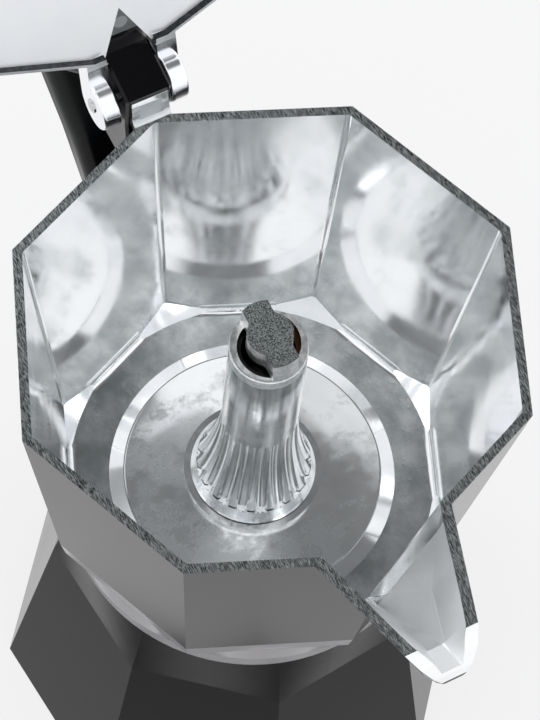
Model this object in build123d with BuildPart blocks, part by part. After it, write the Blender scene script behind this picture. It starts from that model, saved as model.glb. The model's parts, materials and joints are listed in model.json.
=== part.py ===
from build123d import *
from math import atan2, cos, degrees, radians, sin, tan
import os

os.makedirs("parts", exist_ok=True)

# Moka pot. Origin on the table under the column, +Z up, +X through the spout, -X through the hinge and
# handle. Radii of octagons are measured to their corners. All sizes are in millimetres.

half_facet = radians(22.5)

# ---- boiler ----
boiler_h = 69.9  # to the top of the threaded neck
boiler_turn = 27.9  # how far the boiler's corners stand round from the chamber's, screwed tight
base_r = 45.0
shoulder_z = 51.0
shoulder_r = 36.0
collar_gap = 1.8  # bare neck below the chamber's collar
boiler_wall = 2.2
boiler_floor = 2.5
foot_chamfer = 0.8
mouth_r = 28.6  # bore of the neck
neck_r = 31.4
neck_root_r = 33.0

# ---- joint between the halves ----
flange_t = 0.5
gasket_t = 2.2
thread_len = 4.1  # how far the collar comes down round the neck
thread_gap = 0.5  # radial room for the thread

# ---- upper chamber ----
chamber_depth = 59.0  # rim down to the outer part of the floor
rim_r = 45.0
wall = 1.6
floor_t = 1.4
collar_wall = 1.7
band_z = 6.5  # foot of the flat facets outside, above the floor
band_r = 38.1
foot_z = 1.5  # where the octagon outside ends, above the floor
foot_r = 37.1
throat_drop = 2.5  # and where the casting is round, below it
throat_r = 34.6
basin_r = 32.7  # turned floor, which cuts the corners of the octagon inside
basin_flare = 1.0  # how far its side runs outwards for each millimetre of height
corner_round = 1.6
foot_round = 1.5
step_r = 25.7
step_run = 2.5
step_h = 1.2
step_groove = 0.35
dome_h = 0.3

# ---- spout ----
spout_root = 40.2  # where its edges leave the chamber's corner, from the axis
spout_reach = 64.8  # tip
spout_flat = 59.5  # end of the machined top
spout_root_w = 12.3
spout_flat_w = 6.6
spout_tip_w = 2.3
spout_tip_drop = 4.5
spout_clear = 3.0  # how far its void runs on above the rim

# ---- column and cap ----
foot_ring_r = 12.4
foot_ring_h = 1.5
collar_ring_r = 11.2
collar_ring_h = 2.7
skirt_r = 10.1
skirt_h = 23.5
tube_r = 6.7
tube_bore = 4.6
tube_h = 49.4  # floor disc to the underside of the cap
spigot_r = 5.6
flutes = 18
flute_r = 1.3
cap_h = 7.6
cap_top_r = 6.15
cap_disc_r = 3.9
cap_bar = 4.7
cap_blend = 1.1
cap_slot_drop = 4.4
cap_lip = 1.1
cap_slot_shift = 0.5  # makes each outlet wider at one end

# ---- hinge and lid ----
hinge_out = 5.4  # hinge axis beyond the rim's corner
hinge_up = 0.5  # and above the rim
lid_open = 104.7  # degrees
lid_gap = 0.2  # lid to rim when shut
lid_lip_w = 1.5
lid_lip_h = 1.3
lid_bevel = 0.9
lid_edge_h = 1.5
lid_rise = 8.7
lid_wall = 1.6
lid_crown_r = 9.0
lid_stop = 8.2  # lid's edge between the lugs, from the hinge axis
lug_in = 4.6
lug_t = 3.6
lug_r = 4.7
lug_round = 0.7
hump_len = 11.0
pocket_len = 8.5  # wedge-shaped pocket behind the hinge
pocket_open = 2.7  # the part of it that goes right through
pocket_depth = 3.4
pin_r = 1.3
pin_fit = 0.05

# ---- handle ----
head_w = 8.4
arm_w = 21.5
grip_w = 11.0
tang_t = 4.4
tang_drop = 12.0
slot_fit = 0.1
grip_round = 0.38  # corner radius of a section, as a share of its smaller side
head_chamfer = 0.45
nose_up = 5.6  # heights above the hinge axis
brow_up = 7.2
saddle_up = 5.0
arm_up = 8.5
arm_under = 7.3  # depths below it
chin_down = 16.3
toe_down = 53.0
brow_out = 4.2  # distances out from it
head_out = 7.6
heel_out = 48.5

# ---- knob ----
knob_h = 17.0
knob_r = 9.2
knob_base_r = 6.4
insert_r = 3.4
insert_h = 12.0
screw_r = 2.0
screw_fit = 0.05
screw_head_r = 3.6
screw_head_h = 2.0
washer_r = 5.2
washer_t = 0.6

# ---- funnel and filter ----
funnel_fit = 0.4
sheet = 0.5
basket_depth = 19.0
funnel_cone = 6.0
stem_r = 5.2
stem_clear = 6.0  # open end of the stem above the boiler's floor
gasket_w = 5.9
gasket_fit = 0.4
filter_rim = 1.7
hole_r = 0.8
hole_rings = 3

# ---- safety valve ----
valve_side = 95.4 - 27.9  # its facet, from the boiler's first corner
valve_z = 38.0
valve_shank_r = 4.0
valve_fit = 0.08
valve_hex = 12.0
valve_hex_t = 3.4
valve_barrel_r = 4.3
valve_barrel = 5.0
valve_inner = 5.3  # shank behind the boiler's wall
valve_seat_t = 3.5
valve_bore = 2.6
valve_washer_r = 6.8
valve_washer_t = 0.6
valve_nut_t = 3.0
plunger_r = 2.45
plunger_stem_r = 0.9
plunger_head_t = 1.2
plunger_proud = 1.2
seal_t = 1.2
spring_wire = 0.32
spring_turns = 5

# ---- heights and radii that follow ----
wall_c = wall / cos(half_facet)
boiler_wall_c = boiler_wall / cos(half_facet)
collar_z = boiler_h - thread_len
neck_z = collar_z - collar_gap
under_z = boiler_h + flange_t + gasket_t  # underside of the chamber's floor
floor_z = under_z + floor_t
rim_z = floor_z + chamber_depth
disc_z = floor_z + step_h + dome_h  # where the column stands
thread_r = neck_r + thread_gap
collar_r = thread_r + collar_wall
band_top_z = floor_z + band_z
taper = (rim_r - band_r) / (rim_z - band_top_z)
hinge_x = -(rim_r + hinge_out)
hinge_z = rim_z + hinge_up
centre_x = -hinge_x  # lid's centre from the hinge axis

# ================================================================ boiler
with BuildPart() as boiler_void:
    with BuildSketch(Plane.XY.offset(boiler_floor)):
        base_taper = (base_r - shoulder_r) / shoulder_z
        RegularPolygon(base_r - base_taper * boiler_floor - boiler_wall_c, 8, rotation=boiler_turn)
    with BuildSketch(Plane.XY.offset(shoulder_z)):
        RegularPolygon(shoulder_r - boiler_wall_c, 8, rotation=boiler_turn)
    loft(ruled=True)
    with BuildSketch(Plane.XY.offset(shoulder_z)):
        RegularPolygon(shoulder_r - boiler_wall_c, 8, rotation=boiler_turn)
    with BuildSketch(Plane.XY.offset(neck_z)):
        Circle(mouth_r)
    loft(ruled=True)
    with BuildSketch(Plane.XY.offset(neck_z)):
        Circle(mouth_r)
    extrude(amount=boiler_h - neck_z + 1)

valve_angle = radians(boiler_turn + valve_side)
valve_tilt = atan2((base_r - shoulder_r) * cos(half_facet), shoulder_z)
valve_flat = (base_r - (base_r - shoulder_r) * valve_z / shoulder_z) * cos(half_facet)
valve_plane = Plane(
    origin=(valve_flat * cos(valve_angle), valve_flat * sin(valve_angle), valve_z),
    x_dir=(-sin(valve_angle), cos(valve_angle), 0),
    z_dir=(
        cos(valve_tilt) * cos(valve_angle),
        cos(valve_tilt) * sin(valve_angle),
        sin(valve_tilt),
    ),
)

with BuildPart() as boiler:
    with BuildSketch(Plane.XY):
        RegularPolygon(base_r, 8, rotation=boiler_turn)
    with BuildSketch(Plane.XY.offset(shoulder_z)):
        RegularPolygon(shoulder_r, 8, rotation=boiler_turn)
    loft(ruled=True)
    with BuildSketch(Plane.XY.offset(shoulder_z)):
        RegularPolygon(shoulder_r, 8, rotation=boiler_turn)
    with BuildSketch(Plane.XY.offset(neck_z)):
        Circle(neck_root_r)
    loft(ruled=True)
    with BuildSketch(Plane.XY.offset(neck_z)):
        Circle(neck_r)
    extrude(amount=boiler_h - neck_z)
    add(boiler_void.part, mode=Mode.SUBTRACT)
    chamfer(edges().group_by(Axis.Z)[0], foot_chamfer)
    # hole for the safety valve
    with BuildSketch(valve_plane.offset(-2 * boiler_wall)):
        Circle(valve_shank_r + valve_fit)
    extrude(amount=3 * boiler_wall, mode=Mode.SUBTRACT)
boiler.part.label = "boiler"
export_step(boiler.part, "parts/boiler.step")

# ================================================================ safety valve
shank_end = -boiler_wall - valve_inner
hex_top = valve_washer_t + valve_hex_t
barrel_top = hex_top + valve_barrel
seat_w = shank_end + valve_seat_t  # where the seal closes on the body
spring_stop = barrel_top - 1.2

with BuildPart() as valve_washer:
    with BuildSketch(valve_plane):
        Circle(valve_washer_r)
        Circle(valve_shank_r + valve_fit, mode=Mode.SUBTRACT)
    extrude(amount=valve_washer_t)
valve_washer.part.label = "valve_washer"
export_step(valve_washer.part, "parts/valve_washer.step")

with BuildPart() as valve_body:
    with BuildSketch(valve_plane.offset(shank_end)):
        Circle(valve_shank_r)
    extrude(amount=valve_washer_t - shank_end)
    with BuildSketch(valve_plane.offset(valve_washer_t)):
        RegularPolygon(valve_hex / 2, 6, major_radius=False)
    extrude(amount=valve_hex_t)
    with BuildSketch(valve_plane.offset(hex_top)):
        Circle(valve_barrel_r)
    extrude(amount=valve_barrel)
    chamfer(faces().sort_by(Axis(valve_plane.origin, valve_plane.z_dir))[-1].edges(), 0.6)
    # bore for the plunger, closed to a small hole at each end
    with BuildSketch(valve_plane.offset(seat_w)):
        Circle(valve_bore)
    extrude(amount=spring_stop - seat_w, mode=Mode.SUBTRACT)
    with BuildSketch(valve_plane.offset(shank_end)):
        Circle(valve_bore * 0.55)
    extrude(amount=valve_seat_t, mode=Mode.SUBTRACT)
    with BuildSketch(valve_plane.offset(spring_stop)):
        Circle(plunger_stem_r + valve_fit)
    extrude(amount=barrel_top - spring_stop, mode=Mode.SUBTRACT)
valve_body.part.label = "valve_body"
export_step(valve_body.part, "parts/valve_body.step")

with BuildPart() as valve_nut:
    with BuildSketch(valve_plane.offset(-boiler_wall)):
        RegularPolygon(valve_hex / 2, 6, major_radius=False)
        Circle(valve_shank_r + valve_fit, mode=Mode.SUBTRACT)
    extrude(amount=-valve_nut_t)
valve_nut.part.label = "valve_nut"
export_step(valve_nut.part, "parts/valve_nut.step")

with BuildPart() as valve_seal:
    with BuildSketch(valve_plane.offset(seat_w)):
        Circle(plunger_r)
    extrude(amount=seal_t)
valve_seal.part.label = "valve_seal"
export_step(valve_seal.part, "parts/valve_seal.step")

plunger_w0 = seat_w + seal_t
plunger_w1 = plunger_w0 + plunger_head_t
with BuildPart() as valve_plunger:
    with BuildSketch(valve_plane.offset(plunger_w0)):
        Circle(plunger_r)
    extrude(amount=plunger_head_t)
    with BuildSketch(valve_plane.offset(plunger_w1)):
        Circle(plunger_stem_r)
    extrude(amount=barrel_top + plunger_proud - plunger_w1)
valve_plunger.part.label = "valve_plunger"
export_step(valve_plunger.part, "parts/valve_plunger.step")

spring_r = (valve_bore + plunger_stem_r) / 2
spring_len = spring_stop - plunger_w1 - 2 * spring_wire
spring_pitch = spring_len / spring_turns
spring_base = valve_plane.offset(plunger_w1 + spring_wire)
with BuildPart() as valve_spring:
    with BuildLine() as coil:
        Helix(
            pitch=spring_pitch,
            height=spring_len,
            radius=spring_r,
            center=spring_base.origin,
            direction=spring_base.z_dir,
        )
    with BuildSketch(coil.line ^ 0):
        Circle(spring_wire)
    sweep(path=coil.line, is_frenet=True)
valve_spring.part.label = "valve_spring"
export_step(valve_spring.part, "parts/valve_spring.step")

# ================================================================ funnel, screen, gasket, filter plate
basket_r = mouth_r - funnel_fit
flange_r = neck_r - 0.2
basket_z = boiler_h - basket_depth
stem_z = boiler_floor + stem_clear
with BuildPart() as funnel:
    with BuildSketch(Plane.XZ):
        with BuildLine():
            Polyline(
                (basket_r - sheet, boiler_h + flange_t),
                (flange_r, boiler_h + flange_t),
                (flange_r, boiler_h),
                (basket_r, boiler_h),
                (basket_r, basket_z),
                (stem_r, basket_z - funnel_cone),
                (stem_r, stem_z),
                (stem_r - sheet, stem_z),
                (stem_r - sheet, basket_z - funnel_cone + sheet),
                (basket_r - 3 * sheet, basket_z + sheet),
                (basket_r - sheet, basket_z + sheet),
                close=True,
            )
        make_face()
    revolve(axis=Axis.Z)
funnel.part.label = "funnel"
export_step(funnel.part, "parts/funnel.step")

with BuildPart() as funnel_screen:
    with BuildSketch(Plane.XY.offset(basket_z + sheet)):
        Circle(basket_r - sheet - 0.1)
        for ring in range(1, hole_rings + 1):
            with PolarLocations(ring * basket_r / (hole_rings + 0.8), 6 * ring):
                Circle(hole_r, mode=Mode.SUBTRACT)
    extrude(amount=sheet)
funnel_screen.part.label = "funnel_screen"
export_step(funnel_screen.part, "parts/funnel_screen.step")

gasket_r = thread_r - 0.6
with BuildPart() as gasket:
    with BuildSketch(Plane.XY.offset(boiler_h + flange_t)):
        Circle(gasket_r)
        Circle(gasket_r - gasket_w, mode=Mode.SUBTRACT)
    extrude(amount=gasket_t)
gasket.part.label = "gasket"
export_step(gasket.part, "parts/gasket.step")

plate_r = gasket_r - gasket_w - gasket_fit
with BuildPart() as filter_plate:
    with BuildSketch(Plane.XY.offset(under_z - filter_rim)):
        Circle(plate_r)
    extrude(amount=filter_rim)
    with BuildSketch(Plane.XY.offset(under_z - filter_rim + sheet)):
        Circle(plate_r - sheet)
    extrude(amount=filter_rim, mode=Mode.SUBTRACT)
    with BuildSketch(Plane.XY.offset(under_z - filter_rim)):
        for ring in range(1, hole_rings + 1):
            with PolarLocations(ring * plate_r / (hole_rings + 0.8), 6 * ring):
                Circle(hole_r)
    extrude(amount=sheet, mode=Mode.SUBTRACT)
filter_plate.part.label = "filter_plate"
export_step(filter_plate.part, "parts/filter_plate.step")

# ================================================================ upper chamber
with BuildPart() as chamber_void:
    with BuildSketch(Plane.XY.offset(rim_z + 2)):
        RegularPolygon(rim_r - wall_c + 2 * taper, 8)
    with BuildSketch(Plane.XY.offset(floor_z)):
        RegularPolygon(rim_r - wall_c - taper * chamber_depth, 8)
    loft(ruled=True)
    fillet(edges().filter_by(lambda e: abs(e.tangent_at(0.5).Z) > 0.5), corner_round)
    fillet(edges().group_by(Axis.Z)[0], foot_round)
    # the floor is turned, which takes the sharpness from the octagon's corners
    with BuildSketch(Plane.XZ):
        with BuildLine():
            Polyline(
                (0, floor_z),
                (basin_r, floor_z),
                (basin_r + basin_flare * (chamber_depth + 2), rim_z + 2),
                (0, rim_z + 2),
                close=True,
            )
        make_face()
    revolve(axis=Axis.Z, mode=Mode.INTERSECT)

# The spout's sections stand across its length. Each row is a section's place along the spout, then
# half-widths and heights from the rim: the top edge, the foot of the steep side and the keel. Inside,
# the side and the trough turn into each other at a fold.
spout_taper = (spout_root_w - spout_flat_w) / (spout_flat - spout_root)
body_sections = [
    (spout_root - 2.2, (spout_root_w + 2.2 * spout_taper, 0), (10.2, -7), (1.0, -36)),
    (spout_root + 8.6, (spout_root_w - 8.6 * spout_taper, 0), (6.5, -9), (1.0, -20.4)),
    (spout_flat, (spout_flat_w, 0), (5.0, -4.5), (2.2, -7.4)),
    (62.4, (5.15, -1.3), (4.2, -4.6), (2.1, -6.4)),
    (spout_reach - 0.6, (3.4, -3.4), (2.9, -5.0), (1.9, -5.8)),
    (spout_reach, (spout_tip_w, -spout_tip_drop), (2.0, -5.2), (1.5, -5.5)),
]
void_sections = [
    (36.0, (12.0, spout_clear), (11.7, -0.5), (0.4, -32.8), (0.2, -33.0)),
    (39.3, (11.1, spout_clear), (10.5, -1.0), (0.4, -29.3), (0.2, -29.5)),
    (48.8, (8.7, spout_clear), (5.0, -9.0), (4.8, -9.4), (0.4, -18.5)),
    (58.6, (6.4, spout_clear), (1.8, -5.5), (1.6, -5.8), (1.3, -6.0)),
    (63.8, (3.4, spout_clear), (1.9, -3.2), (1.8, -3.7), (1.7, -3.9)),
]


def across(half):
    """Both sides of a spout section, as points of its outline."""
    one_side = [(width, rim_z + height) for width, height in half]
    return one_side + [(-y, z) for y, z in reversed(one_side)]


with BuildPart() as spout_body:
    for x, *half in body_sections:
        with BuildSketch(Plane.YZ.offset(x)):
            with BuildLine():
                Polyline(across(half), close=True)
            make_face()
    loft(ruled=True)

with BuildPart() as spout_void:
    for x, *half in void_sections:
        with BuildSketch(Plane.YZ.offset(x)):
            with BuildLine():
                Polyline(across(half), close=True)
            make_face()
    loft(ruled=True)

with BuildPart() as upper_chamber:
    with BuildSketch(Plane.XY.offset(rim_z)):
        RegularPolygon(rim_r, 8)
    with BuildSketch(Plane.XY.offset(band_top_z)):
        RegularPolygon(band_r, 8)
    loft(ruled=True)
    # below its facets the casting draws in round the floor, turns round and narrows to the collar
    with BuildSketch(Plane.XY.offset(band_top_z)):
        RegularPolygon(band_r, 8)
    with BuildSketch(Plane.XY.offset(floor_z + foot_z)):
        RegularPolygon(foot_r, 8)
    loft(ruled=True)
    with BuildSketch(Plane.XY.offset(floor_z + foot_z)):
        RegularPolygon(foot_r, 8)
    with BuildSketch(Plane.XY.offset(floor_z - throat_drop)):
        Circle(throat_r)
    loft(ruled=True)
    with BuildSketch(Plane.XY.offset(floor_z - throat_drop)):
        Circle(throat_r)
    with BuildSketch(Plane.XY.offset(collar_z)):
        Circle(collar_r)
    loft(ruled=True)
    add(spout_body.part)
    add(chamber_void.part, mode=Mode.SUBTRACT)
    add(spout_void.part, mode=Mode.SUBTRACT)
    # raised disc in the floor, with its bright step
    with BuildSketch(Plane.XZ):
        with BuildLine():
            Polyline(
                (0, floor_z - 0.3),
                (step_r, floor_z - 0.3),
                (step_r, floor_z),
                (step_r - step_run, floor_z + step_h),
                (step_r - step_run - step_groove / 2, floor_z + step_h - step_groove),
                (step_r - step_run - step_groove, floor_z + step_h),
                (foot_ring_r, disc_z),
                (0, disc_z),
                close=True,
            )
        make_face()
    revolve(axis=Axis.Z)
    # threaded bore, the room over the filter plate and the way up into the column
    with BuildSketch(Plane.XY.offset(collar_z)):
        Circle(thread_r)
    extrude(amount=under_z - collar_z, mode=Mode.SUBTRACT)
    with BuildSketch(Plane.XY.offset(under_z)):
        Circle(step_r - step_run - 0.7)
    extrude(amount=step_h, taper=30, mode=Mode.SUBTRACT)
    with BuildSketch(Plane.XY.offset(under_z)):
        Circle(spigot_r)
    extrude(amount=disc_z - under_z, mode=Mode.SUBTRACT)
    # tang: a plate for the handle, with the eye for the hinge pin
    with BuildSketch(Plane.XZ) as tang_shape:
        with BuildLine():
            Polyline(
                (-rim_r + 1.1, rim_z - 0.1),
                (-rim_r + 2.7, rim_z - tang_drop),
                (hinge_x, hinge_z - tang_drop + 1.5),
                (hinge_x - 4.2, hinge_z - 3.5),
                (hinge_x - 3.8, hinge_z + 1.0),
                (hinge_x - 1.1, hinge_z + 3.7),
                (-rim_r - 0.5, hinge_z + 4.9),
                close=True,
            )
        make_face()
    extrude(amount=tang_t / 2, both=True)
    with BuildSketch(Plane.XZ):
        with BuildLine():
            ThreePointArc(
                (-rim_r + 1.5, rim_z - 0.2),
                (-rim_r + 0.3, rim_z + 2.2),
                (-rim_r - 0.15, rim_z + 5.5),
            )
            Polyline(
                (-rim_r - 0.15, rim_z + 5.5),
                (-rim_r - 0.5, rim_z + 5.5),
                (-rim_r - 0.5, rim_z - 1.5),
                (-rim_r + 0.9, rim_z - 1.5),
                (-rim_r + 1.5, rim_z - 0.2),
            )
        make_face()
    extrude(amount=3.4, both=True)
    with BuildSketch(Plane.XZ):
        with Locations((hinge_x, hinge_z)):
            Circle(pin_r + pin_fit)
    extrude(amount=tang_t, both=True, mode=Mode.SUBTRACT)
upper_chamber.part.label = "upper_chamber"
export_step(upper_chamber.part, "parts/upper_chamber.step")

# ================================================================ column and cap
ring2_z = disc_z + foot_ring_h + 0.3
skirt_z = ring2_z + collar_ring_h + 0.4
tube_top = disc_z + tube_h
with BuildPart() as flute:
    with BuildLine(Plane.XZ) as flute_path:
        ThreePointArc(
            (skirt_r + 0.55 * flute_r, skirt_z - 0.5),
            (tube_r + 0.9 + 0.45 * flute_r, skirt_z + 0.45 * skirt_h),
            (tube_r + 0.6 * flute_r, skirt_z + 0.86 * skirt_h),
        )
    with BuildSketch(flute_path.line ^ 0):
        Circle(flute_r)
    sweep()

with BuildPart() as column:
    with BuildSketch(Plane.XZ):
        with BuildLine():
            Polyline(
                (tube_bore, tube_top),
                (tube_bore, under_z + 0.4),
                (spigot_r - 0.05, under_z + 0.4),
                (spigot_r - 0.05, disc_z),
                (foot_ring_r, disc_z),
                (foot_ring_r, disc_z + foot_ring_h),
                (collar_ring_r - 0.6, disc_z + foot_ring_h),
                (collar_ring_r - 0.6, ring2_z),
                (collar_ring_r, ring2_z),
                (collar_ring_r - 1.0, ring2_z + collar_ring_h),
                (skirt_r - 0.5, ring2_z + collar_ring_h),
                (skirt_r - 0.5, skirt_z),
                (skirt_r, skirt_z),
            )
            ThreePointArc(
                (skirt_r, skirt_z),
                (tube_r + 0.9, skirt_z + 0.45 * skirt_h),
                (tube_r, skirt_z + skirt_h),
            )
            Polyline((tube_r, skirt_z + skirt_h), (tube_r, tube_top), (tube_bore, tube_top))
        make_face()
    revolve(axis=Axis.Z)
    with PolarLocations(0, flutes):
        add(flute.part, mode=Mode.SUBTRACT)
column.part.label = "column"
export_step(column.part, "parts/column.step")

cap_z = tube_top + cap_h
with BuildPart() as column_cap:
    with BuildSketch(Plane.XZ):
        with BuildLine():
            Polyline(
                (0, tube_top),
                (tube_r, tube_top),
                (tube_r, tube_top + 2.2),
                (tube_r - 0.15, tube_top + 2.4),
                (cap_top_r, cap_z),
                (0, cap_z),
                close=True,
            )
        make_face()
    revolve(axis=Axis.Z)
    # a disc and a bar stand up in the middle, with low ground on both sides
    with BuildSketch(Plane.XY.offset(cap_z)):
        Circle(tube_r + 1)
        with BuildSketch(Plane.XY, mode=Mode.PRIVATE) as cap_middle:
            Circle(cap_disc_r)
            Rectangle(2 * tube_r + 4, cap_bar)
            fillet(vertices().filter_by(lambda v: abs(v.X) < cap_disc_r), cap_blend)
        add(cap_middle.sketch, mode=Mode.SUBTRACT)
    extrude(amount=-cap_slot_drop, mode=Mode.SUBTRACT)
    # and a comma-shaped outlet at its foot on each side
    with BuildSketch(Plane.XY.offset(cap_z - cap_slot_drop)):
        with BuildSketch(Plane.XY, mode=Mode.PRIVATE) as outlet:
            with Locations((cap_slot_shift, 0)):
                Circle(tube_r - cap_lip)
            Rectangle(4 * tube_r, 4 * tube_r, align=(Align.CENTER, Align.MIN), mode=Mode.SUBTRACT)
            add(cap_middle.sketch, mode=Mode.SUBTRACT)
        with PolarLocations(0, 2):
            add(outlet.sketch)
    extrude(amount=-(cap_h - cap_slot_drop - 1.4), mode=Mode.SUBTRACT)
    with BuildSketch(Plane.XY.offset(tube_top)):
        Circle(tube_bore)
    extrude(amount=1.6, mode=Mode.SUBTRACT)
column_cap.part.label = "column_cap"
export_step(column_cap.part, "parts/column_cap.step")

# ================================================================ lid, hinge pin, handle
open_x = Vector(cos(radians(lid_open)), 0, sin(radians(lid_open)))
open_z = Vector(-sin(radians(lid_open)), 0, cos(radians(lid_open)))
lid_plane = Plane(origin=(hinge_x, 0, hinge_z), x_dir=open_x, z_dir=open_z)
lid_side = Plane(origin=(hinge_x, 0, hinge_z), x_dir=open_x, z_dir=(0, -1, 0))

lip_z = lid_gap - hinge_up
edge_z = lip_z + lid_edge_h
crown_z = edge_z + lid_rise
with BuildPart() as lid_void:
    with BuildSketch(lid_plane.offset(lip_z - 1)):
        with Locations((centre_x, 0)):
            RegularPolygon(rim_r - lid_lip_w, 8)
    with BuildSketch(lid_plane.offset(lip_z + lid_lip_h)):
        with Locations((centre_x, 0)):
            RegularPolygon(rim_r - lid_lip_w, 8)
    with BuildSketch(lid_plane.offset(crown_z - lid_wall)):
        with Locations((centre_x, 0)):
            RegularPolygon(lid_crown_r, 8)
    loft(ruled=True)

with BuildPart() as lugs:
    with BuildSketch(lid_side.offset(lug_in), lid_side.offset(-lug_in - lug_t)):
        Circle(lug_r)
        with Locations((0, lip_z)):
            Rectangle(lid_stop + 1.5, lug_r - lip_z, align=(Align.MIN, Align.MIN))
    extrude(amount=lug_t)
    fillet(edges().filter_by(GeomType.CIRCLE), lug_round)
    with BuildSketch(lid_side):
        Circle(pin_r + pin_fit)
    extrude(amount=2 * (lug_in + lug_t), both=True, mode=Mode.SUBTRACT)

with BuildPart() as lid:
    with BuildSketch(lid_plane.offset(lip_z)):
        with Locations((centre_x, 0)):
            RegularPolygon(rim_r - lid_bevel, 8)
    with BuildSketch(lid_plane.offset(lip_z + lid_bevel)):
        with Locations((centre_x, 0)):
            RegularPolygon(rim_r, 8)
    with BuildSketch(lid_plane.offset(edge_z)):
        with Locations((centre_x, 0)):
            RegularPolygon(rim_r - 0.3, 8)
    with BuildSketch(lid_plane.offset(crown_z)):
        with Locations((centre_x, 0)):
            RegularPolygon(lid_crown_r, 8)
    loft(ruled=True)
    # hump over the hinge corner and the two lugs
    with BuildSketch(lid_side):
        with BuildLine():
            Polyline(
                (lid_stop, lip_z + lid_lip_h),
                (lid_stop, lug_r - 0.1),
                (lid_stop + hump_len, lug_r - 0.1),
                (lid_stop + hump_len, lip_z + lid_lip_h),
                close=True,
            )
        make_face()
    extrude(amount=lug_in + lug_t, both=True)
    add(lid_void.part, mode=Mode.SUBTRACT)
    with BuildSketch(lid_plane.offset(lip_z - 1)):
        with Locations((lid_stop, 0)):
            Rectangle(20, 2 * (lug_in + lug_t) + 1.2, align=(Align.MAX, Align.CENTER))
    extrude(amount=12, mode=Mode.SUBTRACT)
    add(lugs.part)
    # wedge-shaped pocket inside the hinge corner, open where it is widest
    with BuildSketch(lid_plane.offset(lip_z)) as pocket:
        with BuildLine():
            Polyline((lid_stop, -lug_in), (lid_stop + pocket_len, 0), (lid_stop, lug_in), close=True)
        make_face()
    extrude(amount=pocket_depth, mode=Mode.SUBTRACT)
    with BuildSketch(lid_plane.offset(lip_z)):
        add(pocket.sketch_local)
        with Locations((lid_stop + pocket_open, 0)):
            Rectangle(pocket_len, 4 * lug_in, align=(Align.MIN, Align.CENTER), mode=Mode.SUBTRACT)
    extrude(amount=pocket_depth + lug_r + 4, mode=Mode.SUBTRACT)
    # hole for the knob's screw
    with BuildSketch(lid_plane):
        with Locations((centre_x, 0)):
            Circle(screw_r + screw_fit)
    extrude(amount=crown_z + 1, mode=Mode.SUBTRACT)
lid.part.label = "lid"
export_step(lid.part, "parts/lid.step")

pin_half = lug_in + lug_t + 0.2
with BuildPart() as hinge_pin:
    with BuildSketch(Plane.XZ.offset(-pin_half)):
        with Locations((hinge_x, hinge_z)):
            Circle(pin_r)
    extrude(amount=2 * pin_half)
hinge_pin.part.label = "hinge_pin"
export_step(hinge_pin.part, "parts/hinge_pin.step")

# The arm and grip are moulded through rounded sections. Each row is a section's outer point and inner
# point, out from the hinge axis and above it, and its width.
arm_sections = [
    ((-head_out, saddle_up), (-head_out, -arm_under), head_w + 0.6),
    ((-head_out - 3, saddle_up + 0.4), (-head_out - 3, -arm_under), 0.8 * arm_w),
    ((-20.0, saddle_up + 2.0), (-19.0, -arm_under), 0.89 * arm_w),
    ((-32.0, arm_up), (-25.5, -arm_under + 0.3), 0.95 * arm_w),
    ((-heel_out + 4.0, arm_up - 1.0), (-27.2, -arm_under - 0.3), 0.98 * arm_w),
    ((-heel_out + 1.0, 0.8), (-27.6, -arm_under - 1.0), 0.97 * arm_w),
    ((-36.0, -12.6), (-25.5, -9.6), 0.85 * arm_w),
    ((-26.0, -23.9), (-17.5, -17.2), 1.4 * grip_w),
    ((-17.5, -34.0), (-8.6, -27.8), 1.22 * grip_w),
    ((-10.5, -43.7), (-1.6, -38.5), 1.11 * grip_w),
    ((-7.0, 1.2 - toe_down), (1.2, 4.0 - toe_down), grip_w),
    ((-5.2, 0.2 - toe_down), (0.6, 2.0 - toe_down), 0.75 * grip_w),
]
with BuildPart() as arm:
    for (out_x, out_z), (in_x, in_z), width in arm_sections:
        middle = Vector(hinge_x + (out_x + in_x) / 2, 0, hinge_z + (out_z + in_z) / 2)
        depth = Vector(in_x - out_x, 0, in_z - out_z)
        with BuildSketch(Plane(origin=middle, x_dir=depth, z_dir=depth.cross(Vector(0, 1, 0)))):
            RectangleRounded(depth.length, width, grip_round * min(depth.length, width))
    loft(ruled=True)

with BuildPart() as handle:
    # head between the lid's lugs
    with BuildSketch(Plane.XZ):
        with BuildLine():
            Polyline(
                (-rim_r - 0.5, hinge_z + nose_up),
                (hinge_x - brow_out, hinge_z + brow_up),
                (hinge_x - head_out, hinge_z + saddle_up),
                (hinge_x - head_out - 4, hinge_z + saddle_up - 1),
                (hinge_x - head_out - 4, hinge_z - arm_under + 1),
                (hinge_x - head_out - 2, hinge_z - arm_under),
                (hinge_x - 2.6, hinge_z - chin_down),
                (-rim_r + 1.4, hinge_z - chin_down),
                (-rim_r - 0.5, hinge_z - 2.0),
                close=True,
            )
        make_face()
    extrude(amount=head_w / 2, both=True)
    chamfer(faces().filter_by(Axis.Y).edges(), head_chamfer)
    add(arm.part)
    # slot for the tang, and the pin's hole
    with BuildSketch(Plane.XZ):
        add(tang_shape.sketch)
        offset(amount=0.15, kind=Kind.INTERSECTION)
    extrude(amount=tang_t / 2 + slot_fit, both=True, mode=Mode.SUBTRACT)
    with BuildSketch(Plane.XZ):
        with Locations((hinge_x, hinge_z)):
            Circle(pin_r + pin_fit)
    extrude(amount=arm_w, both=True, mode=Mode.SUBTRACT)
handle.part.label = "handle"
export_step(handle.part, "parts/handle.step")

# ================================================================ knob
with BuildPart() as knob_washer:
    with BuildSketch(lid_plane.offset(crown_z - lid_wall - washer_t)):
        with Locations((centre_x, 0)):
            Circle(washer_r)
            Circle(screw_r + screw_fit, mode=Mode.SUBTRACT)
    extrude(amount=washer_t)
knob_washer.part.label = "knob_washer"
export_step(knob_washer.part, "parts/knob_washer.step")

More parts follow.
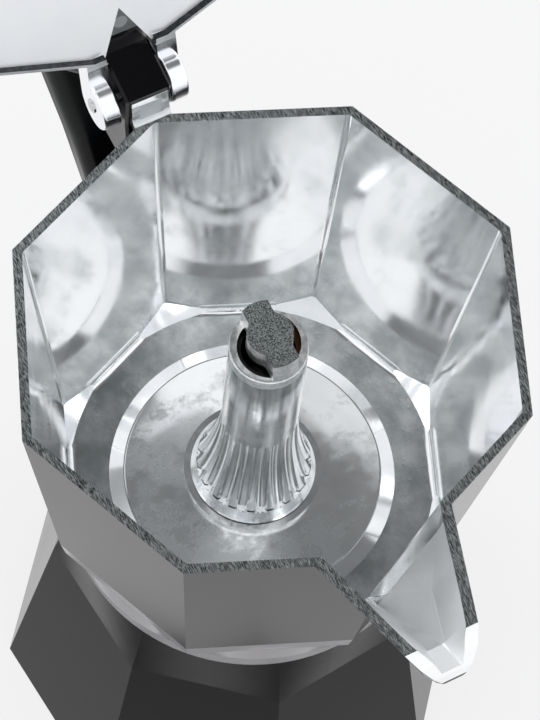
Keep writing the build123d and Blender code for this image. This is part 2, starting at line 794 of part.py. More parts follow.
head_top = crown_z - lid_wall - washer_t
with BuildPart() as knob_screw:
    with BuildSketch(lid_plane.offset(head_top - screw_head_h)):
        with Locations((centre_x, 0)):
            Circle(screw_head_r)
    extrude(amount=screw_head_h)
    fillet(edges().sort_by(Axis(lid_plane.origin, lid_plane.z_dir))[0], 0.9)
    with BuildSketch(lid_plane.offset(head_top)):
        with Locations((centre_x, 0)):
            Circle(screw_r)
    extrude(amount=lid_wall + washer_t + insert_h - 1)
knob_screw.part.label = "knob_screw"
export_step(knob_screw.part, "parts/knob_screw.step")

with BuildPart() as knob_insert:
    with BuildSketch(lid_plane.offset(crown_z)):
        with Locations((centre_x, 0)):
            Circle(insert_r)
            Circle(screw_r + screw_fit, mode=Mode.SUBTRACT)
    extrude(amount=insert_h)
knob_insert.part.label = "knob_insert"
export_step(knob_insert.part, "parts/knob_insert.step")

knob_axis = Axis(lid_plane.from_local_coords(Vector(centre_x, 0, 0)), open_z)
with BuildPart() as lid_knob:
    with BuildSketch(lid_side):
        with BuildLine():
            Polyline(
                (centre_x, crown_z),
                (centre_x + knob_base_r, crown_z),
                (centre_x + knob_base_r, crown_z + 1.2),
            )
            Spline(
                (centre_x + knob_base_r, crown_z + 1.2),
                (centre_x + knob_base_r - 0.9, crown_z + 0.25 * knob_h),
                (centre_x + knob_r, crown_z + 0.68 * knob_h),
                (centre_x + 0.62 * knob_r, crown_z + 0.96 * knob_h),
                (centre_x, crown_z + knob_h),
            )
            Line((centre_x, crown_z + knob_h), (centre_x, crown_z))
        make_face()
    revolve(axis=knob_axis)
    with BuildSketch(lid_plane.offset(crown_z)):
        with Locations((centre_x, 0)):
            Circle(insert_r + 0.02)
    extrude(amount=insert_h + 0.2, mode=Mode.SUBTRACT)
lid_knob.part.label = "lid_knob"
export_step(lid_knob.part, "parts/lid_knob.step")
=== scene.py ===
# %% [markdown]
# # A moka pot, dressed for the studio
# The packed model brings every rigid piece of the pot in its true place: boiler, funnel, seals,
# chamber, column, lid, handle and valve. This script gives them their finishes, adds the small
# forms that are too fine for the solids, such as the neck's screw thread, and sets up the studio.

import json
import math
import bpy
import bmesh
from mathutils import Matrix, Vector


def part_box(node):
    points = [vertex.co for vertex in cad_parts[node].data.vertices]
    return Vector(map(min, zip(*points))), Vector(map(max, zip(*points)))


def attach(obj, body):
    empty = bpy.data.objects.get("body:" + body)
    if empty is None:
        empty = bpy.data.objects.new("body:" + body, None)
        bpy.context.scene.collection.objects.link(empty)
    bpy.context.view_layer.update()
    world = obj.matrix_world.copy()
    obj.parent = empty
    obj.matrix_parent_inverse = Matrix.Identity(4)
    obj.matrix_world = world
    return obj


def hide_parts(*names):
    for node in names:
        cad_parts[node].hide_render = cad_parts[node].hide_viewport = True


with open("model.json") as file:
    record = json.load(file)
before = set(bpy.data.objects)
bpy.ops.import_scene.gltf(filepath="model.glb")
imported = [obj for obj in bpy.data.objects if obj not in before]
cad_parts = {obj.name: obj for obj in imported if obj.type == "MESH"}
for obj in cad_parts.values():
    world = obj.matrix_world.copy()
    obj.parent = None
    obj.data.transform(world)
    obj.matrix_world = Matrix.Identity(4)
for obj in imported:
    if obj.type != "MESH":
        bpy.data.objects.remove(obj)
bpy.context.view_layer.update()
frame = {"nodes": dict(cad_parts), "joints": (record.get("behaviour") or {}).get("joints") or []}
nodes = frame["nodes"]
scene = bpy.context.scene

# %% [markdown]
# ## Places
# Finishes and small forms need to know where the rim, the floor and the hinge are. Typed in, those
# heights would go wrong as soon as a solid changed, so the pot's own pieces give them: a node's box
# has heights and radii, and the hinge joint has the line that the lid swings on. Only small steps
# between neighbouring pieces, such as the floor's thickness, are written here.

# %% Measure the pieces
mm = 0.001
hinge_rise = 0.5 * mm  # hinge line above the chamber's rim
lid_gap = 0.2 * mm  # air between the rim and the shut lid
floor_t = 1.4 * mm  # thickness of the chamber's floor, which lies on the gasket
thread_room = 0.6 * mm  # from the gasket's edge out to the chamber's bore
thread_pitch = 1.5 * mm

joints = {j["name"]: j for j in frame["joints"]}
hinge = Vector(joints["lid_hinge"]["pos_m"])
lid_open = math.radians(joints["lid_hinge"]["range_deg"][1])
lid_out = Vector((math.cos(lid_open), 0, math.sin(lid_open)))  # along the lid, from its hinge
lid_up = Vector((-math.sin(lid_open), 0, math.cos(lid_open)))  # its outer side
rim = hinge.z - hinge_rise
floor_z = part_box("gasket")[1].z + floor_t
bore_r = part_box("gasket")[1].x + thread_room
neck_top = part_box("boiler")[1].z
cap_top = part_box("column_cap")[1].z


def span(node, way):
    """How far a piece of the lid reaches along a direction, from the hinge."""
    reach = [(v.co - hinge).dot(way) for v in nodes[node].data.vertices]
    return min(reach), max(reach)


lid_middle = sum(span("knob_screw", lid_out)) / 2
print("rim", round(rim, 4), "floor", round(floor_z, 4), "hinge", [round(v, 4) for v in hinge])

# %% [markdown]
# ## Shader maths in plain Python
# A finish is a small network of nodes. Linked by hand, even `1 - mask` takes four lines. Wrapping a
# socket in a class lets the expression itself add the Math node, so a finish reads as a recipe.
# Every other node comes from one method, `node`.

# %% A socket that can be reckoned with


class Wire:
    """One output socket of a finish, with arithmetic."""

    def __init__(self, finish, socket):
        self.finish = finish
        self.socket = socket

    def reckon(self, operation, other=None):
        return self.finish.reckon(operation, self, other)

    def __add__(self, other):
        return self.reckon("ADD", other)

    __radd__ = __add__

    def __mul__(self, other):
        return self.reckon("MULTIPLY", other)

    __rmul__ = __mul__

    def __sub__(self, other):
        return self.reckon("SUBTRACT", other)

    def __rsub__(self, other):
        return self.finish.reckon("SUBTRACT", other, self)

    def __truediv__(self, other):
        return self.reckon("DIVIDE", other)

    def __pow__(self, other):
        return self.reckon("POWER", other)

    def __gt__(self, other):
        return self.reckon("GREATER_THAN", other)

    def __lt__(self, other):
        return self.reckon("LESS_THAN", other)

    def most(self, other):
        return self.reckon("MAXIMUM", other)

    def ramp(self, low, high):
        """0 below low, 1 above high, and smooth between."""
        ins = {"Value": self, "From Min": low, "From Max": high}
        return self.finish.node("MapRange", {"interpolation_type": "SMOOTHSTEP"}, ins)

    def pick(self, inside, outside):
        """As a mask: one value where it is 1, the other where it is 0."""
        return self * inside + (1 - self) * outside


print("Wire has", [name for name in vars(Wire) if not name.startswith("_")])

# %% [markdown]
# ## A finish
# Each material, and the world, starts as an empty network. The methods here are the few things that
# every finish needs: coordinates, cloudy noise, a tint between two colours, a bump and the shader
# at the end. Patterns read Object coordinates, in metres, so grain keeps its true size.

# %% A finish and its nodes


class Finish:
    """A material with its nodes, or the world with its own."""

    # the Mix node lists its number and vector sockets first, so its colours go by number
    mix_low, mix_high, mix_out = 6, 7, 2

    def __init__(self, name, kind="materials"):
        self.holder = getattr(bpy.data, kind).new(name)
        self.holder.use_nodes = True
        self.tree = self.holder.node_tree
        self.tree.nodes.clear()

    def node(self, kind, settings=None, ins=None, out=0):
        """Adds a node, with its settings first and then the values or links of its sockets."""
        made = self.tree.nodes.new("ShaderNode" + kind)
        for key, value in (settings or {}).items():
            setattr(made, key, value)
        for key, value in (ins or {}).items():
            socket = made.inputs[key]
            if isinstance(value, Wire):
                self.tree.links.new(value.socket, socket)
            elif socket.type == "RGBA":
                socket.default_value = tuple(value) + (1,)
            else:
                socket.default_value = value
        return Wire(self, made.outputs[out])

    def reckon(self, operation, first, second=None):
        ins = {0: first} if second is None else {0: first, 1: second}
        return self.node("Math", {"operation": operation}, ins)

    def axes(self, which="Object"):
        parts = self.node("SeparateXYZ", None, {"Vector": self.node("TexCoord", out=which)})
        return [Wire(self, socket) for socket in parts.socket.node.outputs]

    def radius(self):
        """Distance from the pot's axis."""
        x, y, _ = self.axes()
        return (x * x + y * y) ** 0.5

    def outward(self):
        """How squarely a face looks away from that axis, from -1 to 1."""
        x, y, _ = self.axes()
        lean_x, lean_y, _ = self.axes("Normal")
        return (lean_x * x + lean_y * y) / self.radius().most(1 * mm)

    def noise(self, scale, detail, rough, stretch=(1, 1, 1), turn=(0, 0, 0)):
        where = self.node("TexCoord", out="Object")
        where = self.node("Mapping", None, {"Vector": where, "Scale": stretch, "Rotation": turn})
        ins = {"Vector": where, "Scale": scale, "Detail": detail, "Roughness": rough}
        return self.node("TexNoise", None, ins)

    def tint(self, mask, low, high):
        """One colour where the mask is 0, the other where it is 1."""
        ins = {"Factor": mask, self.mix_low: low, self.mix_high: high}
        return self.node("Mix", {"data_type": "RGBA"}, ins, self.mix_out)

    def bump(self, height, distance, strength, under=None):
        ins = {"Height": height, "Distance": distance, "Strength": strength}
        if under:
            ins["Normal"] = under
        return self.node("Bump", None, ins)

    def end(self, shader, kind="Material"):
        """Links the last shader to the output."""
        output = self.tree.nodes.new(f"ShaderNodeOutput{kind}")
        self.tree.links.new(shader.socket, output.inputs["Surface"])
        print("finish", self.holder.name, "nodes", len(self.tree.nodes))
        return self.holder

    def surface(self, **ins):
        named = {key.replace("_", " "): value for key, value in ins.items()}
        return self.end(self.node("BsdfPrincipled", None, named))


print("Finish has", [name for name in vars(Finish) if not name.startswith("_")])


def wear(node, material):
    """Gives a node of the pot its finish."""
    nodes[node].data.materials.clear()
    nodes[node].data.materials.append(material)
    print(node, "wears", material.name)


# %% [markdown]
# ## The chamber: several finishes on one casting
# The chamber is cast in aluminium, polished inside by hand and painted outside. Then its rim is
# milled flat and a ring of its floor is turned. These could be separate materials on separate
# faces, but the finishes follow the form: the walls lean outwards, so inside faces look up a little
# and outside faces look down. Masks on place and normal tell them apart and leave the mesh alone.

# %% Where each finish lies on the chamber
tang_from = -45.2 * mm  # from here back, the tang inside the handle is bare
tang_top_from = -43.4 * mm  # and so is the part of it that stands above the rim
spout_from = 42 * mm
ring_from = 25.5 * mm  # the turned ring of the floor starts here
disc_to = 24 * mm  # stains on the disc inside it stay within this radius
collar_sheen_rise = 6.4 * mm  # the collar's painted reflection, light grey on the black paint, ends this far above the floor
tang_step = 0.15 * mm  # what stands this far above the rim is the tang
bore_margin = 0.5 * mm  # the bore's bare metal, outwards of its wall
skim, near = 0.4 * mm, 0.1 * mm  # how far off a face may be and still count as there
looks_up = 0.06  # the polished walls look up by more than this
looks_out = 0.3  # and outwards by less than this, unless they look up as much
level_from = 0.985


def chamber_masks(f):
    """1 where a finish lies and 0 elsewhere, by name."""
    x, _, z = f.axes()
    lean_z = f.axes("Normal")[2]
    radius = f.radius()
    tang = (x < tang_from).most((x < tang_top_from) * (z > rim + tang_step))
    bore = (radius < bore_r + bore_margin) * (z < floor_z - near)
    inside = (lean_z > looks_up) * (f.outward() < looks_out).most(lean_z > looks_out)
    bare = inside.most(tang).most(bore)
    level = lean_z > level_from
    on_floor = (z < floor_z + skim) * (z > floor_z - skim)
    return {
        "bare": bare,
        "tang": tang,
        "spout": x > spout_from,
        "thread": bore * (radius > bore_r - near),
        # the collar's black paint gets a painted reflection of the bright surroundings, as light
        # grey
        "collar": (1 - bare) * (z < floor_z + collar_sheen_rise),
        "rim": level * (z > rim - skim) * (1 - tang),
        "ring": level * on_floor * (radius > ring_from),
        "disc": level * (radius < disc_to),
    }


print("ring from", round(ring_from, 4), "collar to", round(floor_z + collar_sheen_rise, 4))

# %% [markdown]
# ## Colours, polish and marks of the chamber
# Bare aluminium gets its look from what it mirrors, so its colour hardly varies, and its roughness
# does the work. Hand polish leaves soft clouds and slight waves, water leaves dull spots on the
# disc, and the cutter leaves short slanting hairs on the rim. The paint outside is plain black; on
# the collar below it is painted light grey, a painted reflection of the bright surroundings in its
# gloss. One long recipe would do, but colour, polish and marks are easier to change apart, so each
# has its own short function and feeds its own socket.

# %% Chamber finish


def disc_stains(f, disc):
    """Dull spots on the disc, more of them to one side."""
    x, y, _ = f.axes()
    drift = (x - y) * (0.084 / disc_to)
    return (f.noise(120, 6, 0.72, (1.3, 0.9, 1)) + drift).ramp(0.42, 0.64) * disc


def chamber_colour(f, on, clouds, hairs, stains):
    metal = f.tint(clouds, (0.90, 0.91, 0.92), (0.96, 0.965, 0.97))
    metal = f.tint(stains, metal, (0.66, 0.69, 0.695))
    mottle = f.noise(160, 4, 0.65).ramp(0.3, 0.75)
    turned_floor = f.tint(mottle, (0.36, 0.39, 0.395), (0.64, 0.66, 0.665))
    milled = f.tint(hairs.ramp(0.4, 0.64), (0.03, 0.036, 0.036), (0.52, 0.55, 0.55))
    # black paint, and on the collar a light grey painted reflection of the bright surroundings in
    # the gloss
    paint_and_collar_sheen = f.tint(on["collar"], (0.006, 0.005, 0.007), (0.30, 0.29, 0.30))
    colour = f.tint(on["bare"], paint_and_collar_sheen, metal)
    colour = f.tint(on["ring"], colour, turned_floor)
    return f.tint(on["rim"], colour, milled)


def chamber_roughness(on, clouds, hairs, stains):
    polished = 0.06 + 0.08 * clouds + 0.2 * stains + 0.32 * on["spout"]
    rough = on["bare"].pick(polished, 0.16)
    rough = on["ring"].pick(0.24 + 0.1 * clouds, rough)
    return on["rim"].pick(0.34 + 0.2 * hairs, rough)


def chamber_marks(f, on, hairs):
    height = f.axes()[2]
    waves = f.noise(42, 2, 0.5) * on["bare"] * (1 - 0.5 * on["spout"] + 3 * on["tang"])
    turns = (height * (math.tau / thread_pitch)).reckon("SINE") * on["thread"]
    specks = f.noise(900, 2, 0.5).ramp(0.58, 0.72) * on["ring"]
    normal = f.bump(waves, 0.4 * mm, 0.35)
    normal = f.bump(turns, 0.25 * mm, 0.8, normal)
    return f.bump(hairs * on["rim"] * 0.6 + specks * 0.5, 0.05 * mm, 0.6, normal)


def chamber_finish():
    f = Finish("chamber")
    on = chamber_masks(f)
    clouds = f.noise(90, 4, 0.6).ramp(0.3, 0.7)
    hairs = f.noise(1, 3, 0.7, (1100, 9000, 1100), (0, 0, 0.75))
    stains = disc_stains(f, on["disc"])
    return f.surface(
        Base_Color=chamber_colour(f, on, clouds, hairs, stains),
        Metallic=on["bare"],
        Roughness=chamber_roughness(on, clouds, hairs, stains),
        Normal=chamber_marks(f, on, hairs),
        IOR=1.2,
    )


wear("upper_chamber", chamber_finish())

# %% [markdown]
# ## The boiler: glossy paint over the casting
# The boiler is painted all over outside and is bare cast aluminium inside and round its neck. The
# paint's look is almost only reflection, so it is nearly black and smooth, with the faintest orange
# peel. A coat layer could add the gloss, but the plain shader's own reflection is enough here.

# %% Boiler finish
neck_bare = 5.8 * mm  # height of the unpainted neck


def boiler_finish():
    f = Finish("boiler_paint")
    height = f.axes()[2]
    lean_z = f.axes("Normal")[2]
    bare = ((f.outward() < 0.2) * (lean_z > -0.5)).most(height > neck_top - neck_bare)
    peel = f.noise(420, 2, 0.5) * (1 - bare) * 0.15
    cast = f.noise(1500, 2, 0.6) * bare * 0.3
    return f.surface(
        Base_Color=f.tint(bare, (0.004, 0.0035, 0.0045), (0.5, 0.51, 0.52)),
        Metallic=bare,
        Roughness=bare.pick(0.42, 0.13 + 0.05 * f.noise(60, 3, 0.5)),
        Normal=f.bump(peel + cast, 0.1 * mm, 0.5),
        IOR=1.15,
    )


wear("boiler", boiler_finish())

# %% [markdown]
# ## Bare metal pieces
# The other metal pieces differ only in colour, polish and the grain of their tool marks, so one
# recipe with a few numbers makes them all. Spun sheet has lines drawn round it, which a noise
# squeezed along Z gives; turned and cast pieces have an even grain.

# %% Metal finishes


def metal(name, low, high, rough, grain, depth=0.02 * mm, stretch=(1, 1, 1)):
    """Clouds between two colours and two roughnesses, over fine marks."""
    f = Finish(name)
    clouds = f.noise(130, 4, 0.6).ramp(0.3, 0.7)
    marks = f.noise(grain, 3, 0.6, stretch)
    return f.surface(
        Base_Color=f.tint(clouds, low, high),
        Metallic=1.0,
        Roughness=rough[0] + (rough[1] - rough[0]) * clouds,
        Normal=f.bump(marks, depth, 0.6),
    )


fine = 0.01 * mm
column_cast = metal("column_cast", (0.74, 0.76, 0.77), (0.93, 0.94, 0.95), (0.08, 0.18), 1100)
sheet = metal(
    "spun_sheet", (0.72, 0.73, 0.74), (0.82, 0.83, 0.84), (0.25, 0.36), 900, fine, (1, 1, 9)
)
steel = metal("drawn_steel", (0.60, 0.61, 0.62), (0.72, 0.73, 0.74), (0.16, 0.28), 900, fine)
brass = metal("turned_brass", (0.62, 0.44, 0.18), (0.78, 0.60, 0.30), (0.18, 0.32), 1200, fine)
wear("column", column_cast)
wear("hinge_pin", steel)
for piece in ("funnel", "funnel_screen", "filter_plate"):
    wear(piece, sheet)
for piece in ("valve_body", "valve_nut", "knob_insert"):
    wear(piece, brass)
for piece in ("valve_plunger", "valve_spring", "knob_screw", "knob_washer"):
    wear(piece, steel)

# %% [markdown]
# ## The lid
# The lid is polished outside and satin inside, with a near-black band, fine hairs in it, on the
# inward wall of the step inside its lip, and a dull wedge-shaped pocket behind the hinge, with a
# round casting mark. The lid stands open, so plain X and Z would cut across it. Two directions of
# its own plate give places on it instead, and the masks are as simple as on a lid that lies flat.

# %% Lid finish
plate_from = 8.4 * mm  # where the plate starts, from the hinge
lip_h = 1.3 * mm
lip_top = lid_gap - hinge_rise + lip_h  # from the hinge's own level
pocket_low, pocket_high, pocket_to = 2.7 * mm, 3.2 * mm, 17 * mm
mark_out, mark_r, mark_edge_r = 13.3 * mm, 1.25 * mm, 1.1 * mm


def on_lid(place, way):
    """One coordinate of a place or direction, along a direction of the lid's plate."""
    return place[0] * way.x + place[2] * way.z


def lid_finish():
    f = Finish("lid_polish")
    x, y, z = f.axes()
    place = (x - hinge.x, y, z - hinge.z)
    lean = f.axes("Normal")
    out, lift = on_lid(place, lid_out), on_lid(place, lid_up)
    lean_out, lean_up = on_lid(lean, lid_out), on_lid(lean, lid_up)
    inward = (lid_middle - out) * lean_out - y * lean[1]
    plate = out > plate_from
    lip = (lift < lip_top) * plate * (inward > 0) * (lean_up > -0.3)
    pocket = (lift > pocket_low) * (lift < pocket_high) * (out < pocket_to) * (lean_up < -0.99)
    from_mark = ((out - mark_out) ** 2 + y * y) ** 0.5
    mark = pocket * (from_mark < mark_r)
    satin = plate * (lean_up < -0.3)
    clouds = f.noise(70, 4, 0.6).ramp(0.3, 0.7)
    hairs = f.noise(1, 3, 0.65, (1200, 6000, 1200)).ramp(0.3, 0.7)
    colour = f.tint(clouds, (0.93, 0.94, 0.97), (0.97, 0.98, 1.0))
    # the inward wall inside the lip is near black, with fine hairs
    colour = f.tint(lip, colour, f.tint(hairs, (0.004, 0.005, 0.006), (0.07, 0.075, 0.08)))
    colour = f.tint(pocket, colour, (0.42, 0.44, 0.45))
    colour = f.tint(mark, colour, (0.8, 0.81, 0.82))
    rough = lip.pick(0.36, 0.12 + 0.08 * clouds + 0.26 * satin)
    waves = f.bump(f.noise(45, 2, 0.5) * (1 - lip), 0.5 * mm, 0.3)
    normal = f.bump((from_mark > mark_edge_r) * mark, 0.05 * mm, 0.6, waves)
    return f.surface(
        Base_Color=colour, Metallic=1.0, Roughness=pocket.pick(0.4, rough), Normal=normal
    )


wear("lid", lid_finish())

# %% [markdown]
# ## The column's cap
# The cap is cast, and its raised top is left rough, in dark and bright grains. Its skirt is
# smoother. The floors of its two outlets are painted near black, a painted shade for the hollows,
# and one of them is brown as well, from a coffee stain. Grains could be a displaced surface, but at
# a quarter of a millimetre a fine noise, pressed to its ends, is enough.

# %% Cap finish
cap_skin = 0.3 * mm  # what counts as the top
outlet_drop = 4.6 * mm  # the outlets' floors lie this far below it
outlet_r = 5.7 * mm


def cap_finish():
    f = Finish("cap_cast")
    _, y, height = f.axes()
    top = height > cap_top - cap_skin
    outlet = (height < cap_top - outlet_drop) * (f.radius() < outlet_r)
    grit = f.noise(4300, 3, 0.7).ramp(0.38, 0.62)
    clouds = f.noise(700, 4, 0.7).ramp(0.35, 0.65)
    # painted shade on the outlet floors: near black on one side, and brown with a coffee stain on
    # the other
    outlet_shade_and_stain = f.tint(y > 0, (0.02, 0.02, 0.02), (0.10, 0.05, 0.03))
    colour = f.tint(clouds, (0.7, 0.72, 0.72), (1.0, 1.0, 1.0))
    colour = f.tint(outlet, colour, outlet_shade_and_stain)
    colour = f.tint(top, colour, f.tint(grit, (0.025, 0.03, 0.03), (0.3, 0.32, 0.32)))
    rough = top.pick(0.5, 0.28 + 0.14 * clouds)
    normal = f.bump(grit * top + 0.5 * clouds, 0.08 * mm, 0.7)
    return f.surface(Base_Color=colour, Metallic=1.0, Roughness=rough, Normal=normal)


wear("column_cap", cap_finish())

# %% [markdown]
# ## Plastic, rubber and fibre
# The handle and knob are moulded in one black plastic with a soft shine; the gasket, the valve's
# seal and its washer are dull. All are one recipe, and a fine grain in the bump keeps them from
# looking like glass. The black one also has the wear and the seam of a grip, which are masks on
# place, so that the same plastic still serves the knob.

# %% Moulded finishes
worn_from, worn_to = -57 * mm, -64 * mm  # the grip starts to dull here, and is dull from here back
seam_edge, seam_soft = 0.03 * mm, 0.12 * mm  # the mould's seam, each side of the middle


def grip_wear(f, colour, rough, normal):
    """The grip is duller than the head, and the mould's halves leave a hair line down it."""
    x, y, _ = f.axes()
    worn = 1 - x.ramp(worn_to, worn_from)
    seam = 1 - y.reckon("ABSOLUTE").ramp(seam_edge, seam_soft)
    colour = f.tint(worn, colour, (0.007, 0.009, 0.009))
    return colour, rough + 0.22 * worn, f.bump(seam * worn, 0.05 * mm, 0.5, normal)


def moulded(name, low, high, rough, grain, depth=0.1 * mm, ior=1.5, grip=False):
    f = Finish(name)
    colour = f.tint(f.noise(70, 3, 0.5), low, high)
    normal = f.bump(f.noise(grain, 2, 0.5), depth, 0.4)
    spread = rough[0] + (rough[1] - rough[0]) * f.noise(140, 3, 0.5)
    if grip:
        colour, spread, normal = grip_wear(f, colour, spread, normal)
    return f.surface(Base_Color=colour, Roughness=spread, Normal=normal, IOR=ior)


soot, soot_pale = (0.001, 0.001, 0.002), (0.003, 0.003, 0.004)
black = moulded("black_plastic", soot, soot_pale, (0.14, 0.26), 500, 0.08 * mm, 1.28, grip=True)
rubber = moulded("gasket_rubber", (0.74, 0.72, 0.66), (0.84, 0.82, 0.77), (0.6, 0.75), 900)
silicone = moulded("silicone", (0.42, 0.08, 0.05), (0.52, 0.12, 0.08), (0.5, 0.6), 900, 0.05 * mm)
fibre = moulded("fibre", (0.28, 0.07, 0.05), (0.4, 0.12, 0.09), (0.6, 0.8), 1600)
wear("handle", black)
wear("lid_knob", black)
wear("gasket", rubber)
wear("valve_seal", silicone)
wear("valve_washer", fibre)

# %% [markdown]
# ## Small forms on the castings
# The neck's thread, the riveted ends of the hinge pin and the screw under the lid are finer than
# the solids. A normal map would be lighter, but a thread's outline shows when the pot is open, so
# they are real forms. All are outlines spun about a line, so two helpers serve them: one spins, and
# one cleans a mesh, puts it in its place and lets it ride on its body.

# %% Helpers for small forms
sharp = math.radians(35)  # edges that turn more than this stay crisp


def finished(mesh, name, body, material, place=None):
    """Merges, turns right side out, places and shades a mesh, and lets it ride on its body."""
    bmesh.ops.remove_doubles(mesh, verts=mesh.verts, dist=0.002 * mm)
    bmesh.ops.recalc_face_normals(mesh, faces=mesh.faces)
    if place:
        bmesh.ops.transform(mesh, matrix=place, verts=mesh.verts)
    for face in mesh.faces:
        face.smooth = True
    for edge in mesh.edges:
        edge.smooth = edge.calc_face_angle(0) < sharp
    data = bpy.data.meshes.new(name)
    mesh.to_mesh(data)
    mesh.free()
    data.materials.append(material)
    made = bpy.data.objects.new(name, data)
    scene.collection.objects.link(made)
    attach(made, body)
    print(name, "faces", len(data.polygons))
    return made


def turned(outline, steps=48):
    """Spins an outline of (radius, height) points, in millimetres, once about +Z."""
    mesh = bmesh.new()
    points = [mesh.verts.new((radius * mm, 0, height * mm)) for radius, height in outline]
    lines = [mesh.edges.new(pair) for pair in zip(points, points[1:])]
    bmesh.ops.spin(
        mesh,
        geom=points + lines,
        cent=(0, 0, 0),
        axis=(0, 0, 1),
        angle=math.tau,
        steps=steps,
        use_merge=True,
    )
    return mesh


print("edges sharp above", round(math.degrees(sharp)), "degrees")

# %% [markdown]
# ## Thread on the boiler's neck
# The two halves screw together, and when the pot is open the neck's thread is the first thing seen.
# A Screw modifier could wind it. Spinning a triangle that climbs by a fixed step does the same in
# one bmesh call, and leaves both ends to be closed by hand.

# %% Neck thread
thread_gap = 0.5 * mm  # air between the neck and the chamber's bore
thread_foot = 0.05 * mm  # how far the ridge is sunk into the neck
thread_depth = 0.4 * mm
thread_low, thread_high = neck_top - 5.4 * mm, neck_top - 0.3 * mm
ridge = 0.8  # share of the pitch that the ridge takes up


def thread(radius, low, high, steps=60):
    """A ridge that climbs about +Z, with its ends closed."""
    mesh = bmesh.new()
    foot = radius - thread_foot
    width = ridge * thread_pitch
    corners = [(foot, low), (foot, low + width), (radius + thread_depth, low + width / 2)]
    mesh.faces.new([mesh.verts.new((r, 0, h)) for r, h in corners])
    turns = (high - low) / thread_pitch - ridge
    climbed = bmesh.ops.spin(
        mesh,
        geom=mesh.verts[:] + mesh.edges[:],
        cent=(0, 0, 0),
        axis=(0, 0, 1),
        dvec=(0, 0, thread_pitch / steps),
        angle=math.tau * turns,
        steps=round(steps * turns),
    )
    last = [item for item in climbed["geom_last"] if isinstance(item, bmesh.types.BMEdge)]
    bmesh.ops.contextual_create(mesh, geom=last)
    return mesh


neck = metal("turned_aluminium", (0.60, 0.61, 0.62), (0.74, 0.75, 0.76), (0.24, 0.36), 900)
ridges = thread(bore_r - thread_gap, thread_low, thread_high)
finished(ridges, "neck_thread", "boiler", neck)

# %% [markdown]
# ## Riveted ends of the hinge pin
# The pin is held by its ends, which are hammered over into low domes. A squashed sphere would meet
# the pin at the wrong angle, so each dome is a short outline spun about the pin's line, and turned
# to face its own side.

# %% Rivets
dome = [(0, 0.34), (0.5, 0.31), (0.9, 0.2), (1.15, 0), (1.15, -0.1), (0, -0.1)]
pin_low, pin_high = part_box("hinge_pin")
for side, end, tilt in (("left", pin_high.y, -90), ("right", pin_low.y, 90)):
    facing = Matrix.Rotation(math.radians(tilt), 4, "X")
    place = Matrix.Translation((hinge.x, end, hinge.z)) @ facing
    finished(turned(dome, 32), "rivet_" + side, "upper", steel, place)

# %% [markdown]
# ## Screw that holds the knob
# The knob's screw is plain in the solids. Here it is a pan-head screw, an outline spun about the
# screw's own line, with a cross for the driver. Cutting the cross with a boolean would leave messy
# faces round it, so the flat of the head is sliced into a grid and the cross is extruded inwards.

# %% Pan-head screw
screw_low, screw_high = span("knob_screw", lid_up)
shank_r, shank_top = 2.0, (screw_high - screw_low) / mm
pan = [(0, 0), (2.2, 0), (3.1, 0.35), (3.5, 0.9), (3.6, 1.4), (3.6, 2.0), (shank_r, 2.0)]
arm_half, arm_long, cross_depth = 0.38 * mm, 1.7 * mm, 0.9 * mm
flush = 0.01 * mm  # how near the head's flat a face has to lie


def slice_flat(mesh, way, distance):
    """Cuts the head's flat along a line across it, and nothing else."""
    flat = [face for face in mesh.faces if abs(face.calc_center_median().z) < flush]
    parts = set(flat) | {e for f in flat for e in f.edges} | {v for f in flat for v in f.verts}
    at = Vector(way) * distance
    bmesh.ops.bisect_plane(mesh, geom=list(parts), plane_co=at, plane_no=way)


def in_cross(face):
    at = face.calc_center_median()
    near, far = sorted((abs(at.x), abs(at.y)))
    return abs(at.z) < flush and near < arm_half and far < arm_long


screw = turned(pan + [(shank_r, shank_top), (0, shank_top)])
for way in ((1, 0, 0), (0, 1, 0)):
    for distance in (-arm_long, -arm_half, arm_half, arm_long):
        slice_flat(screw, way, distance)
# the extrusion leaves the cross's first faces where they were, as a flat skin over the recess
cross = [face for face in screw.faces if in_cross(face)]
sunk = bmesh.ops.extrude_face_region(screw, geom=cross)
deep = [item for item in sunk["geom"] if isinstance(item, bmesh.types.BMVert)]
bmesh.ops.translate(screw, verts=deep, vec=(0, 0, cross_depth))
axes = Matrix((lid_out, (0, 1, 0), lid_up)).transposed().to_4x4()
place = Matrix.Translation(hinge + lid_out * lid_middle + lid_up * screw_low) @ axes
pan_screw = finished(screw, "pan_head_screw", "lid", steel, place)
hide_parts("knob_screw")

# %% [markdown]
# ## The table
# Metal shows its surroundings, so the studio matters as much as the finishes. The table is pale and
# plain. Lit alone it would come out grey, and more light would burn out the pot, so rays from the
# camera and from mirror-like surfaces see part of it as a steady glow, and the rest is lit, which
# keeps the pot's shadow.

# %% Table
table_half = 3.0
glow_share = 0.8


def table_finish():
    f = Finish("table")
    kinds = ("Camera", "Glossy", "Transmission")
    rays = [f.node("LightPath", out=f"Is {kind} Ray") for kind in kinds]
    seen = rays[0].most(rays[1]).most(rays[2])
    lit = f.node("BsdfDiffuse", None, {"Color": (0.86, 0.86, 0.86)})
    glow = f.node("Emission", None, {"Color": (0.96, 0.96, 0.96), "Strength": 1.0})
    return f.end(f.node("MixShader", None, {0: seen * glow_share, 1: lit, 2: glow}))


def make_table():
    mesh = bmesh.new()
    bmesh.ops.create_grid(mesh, x_segments=1, y_segments=1, size=table_half)
    data = bpy.data.meshes.new("table")
    mesh.to_mesh(data)
    mesh.free()
    data.materials.append(table_finish())
    made = bpy.data.objects.new("table", data)
    scene.collection.objects.link(made)
    return made


table = make_table()
print("table", 2 * table_half, "m across")

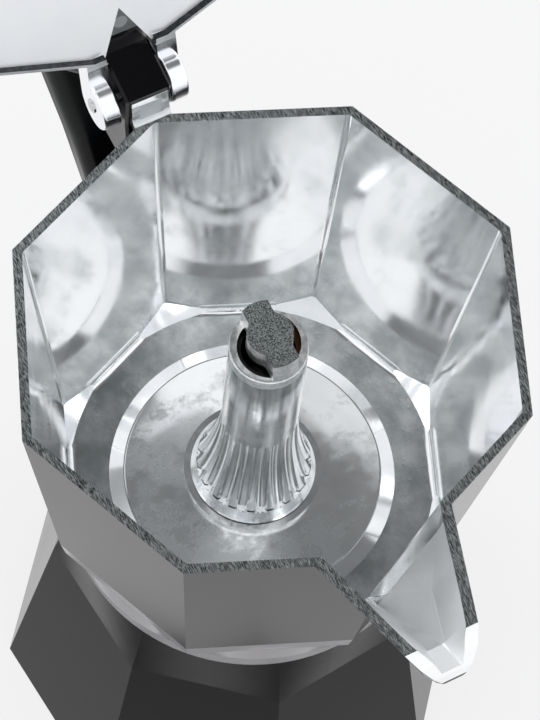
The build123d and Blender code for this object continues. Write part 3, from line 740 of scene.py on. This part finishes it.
# %% [markdown]
# ## Sky and lamps
# The world is a bright tent, which polished walls need, with one dark flag overhead. Level metal,
# such as the milled rim and the turned floor, mirrors that flag and turns grey, and that tells it
# from the walls. An image of a studio would do the same, but one dot product and a ramp are enough.
# Two large soft lamps give the shadow its side.

# %% Sky
flag_way = (-0.353, 0.237, 0.905)  # the middle of the flag, as a direction from the pot
flag_edge, flag_core = 0.82, 0.92  # cosines of the angles where it fades in and is full


def sky():
    f = Finish("studio", "worlds")
    way = f.node("TexCoord", out="Generated")
    nearness = f.node("VectorMath", {"operation": "DOT_PRODUCT"}, {0: way, 1: flag_way}, "Value")
    flag = nearness.ramp(flag_edge, flag_core)
    colour = f.tint(flag, (1.04, 1.05, 1.06), (0.19, 0.195, 0.2))
    return f.end(f.node("Background", None, {"Color": colour, "Strength": 1.0}), "World")


scene.world = sky()
scene.view_settings.view_transform = "Standard"

# %% Lamps
lamp_aim = Vector((0, 0, 0.1))


def face_to(thing, place, aim):
    """Stands a lamp or camera at a place, looking at a point."""
    thing.location = place
    thing.rotation_mode = "QUATERNION"
    thing.rotation_quaternion = (aim - Vector(place)).to_track_quat("-Z", "Y")


def soft_lamp(name, place, size, power):
    data = bpy.data.lights.new(name, "AREA")
    data.shape = "DISK"
    data.size = size
    data.energy = power
    lamp = bpy.data.objects.new(name, data)
    scene.collection.objects.link(lamp)
    face_to(lamp, place, lamp_aim)
    print("lamp", name, power, "W")


soft_lamp("key", (-0.9, -0.7, 0.9), 0.7, 2.6)
soft_lamp("fill", (0.6, 1.0, 0.8), 0.8, 1.8)

# %% [markdown]
# ## Camera
# The camera looks steeply down into the open chamber, from the spout's side, with a long lens, so
# that the octagon hardly tapers. A shift could slide the frame, but that would follow the camera to
# other views, so its aim and a small roll do it.

# %% Camera
camera_place = (0.1999, -0.1339, 0.6346)
camera_aim = Vector((0.00446, -0.00241, 0.133))
camera_roll = math.radians(7.63)

camera_data = bpy.data.cameras.new("camera")
camera_data.lens = 169.5
camera_data.sensor_width = 36
camera_data.clip_start = 0.01
camera = bpy.data.objects.new("camera", camera_data)
scene.collection.objects.link(camera)
scene.camera = camera
face_to(camera, camera_place, camera_aim)
roll = Matrix.Rotation(camera_roll, 3, "Z").to_quaternion()
camera.rotation_quaternion = camera.rotation_quaternion @ roll
print("camera", round((Vector(camera_place) - camera_aim).length, 3), "m from the pot")

# %% [markdown]
# ## Sizes
# Dressing a part never changes its size.
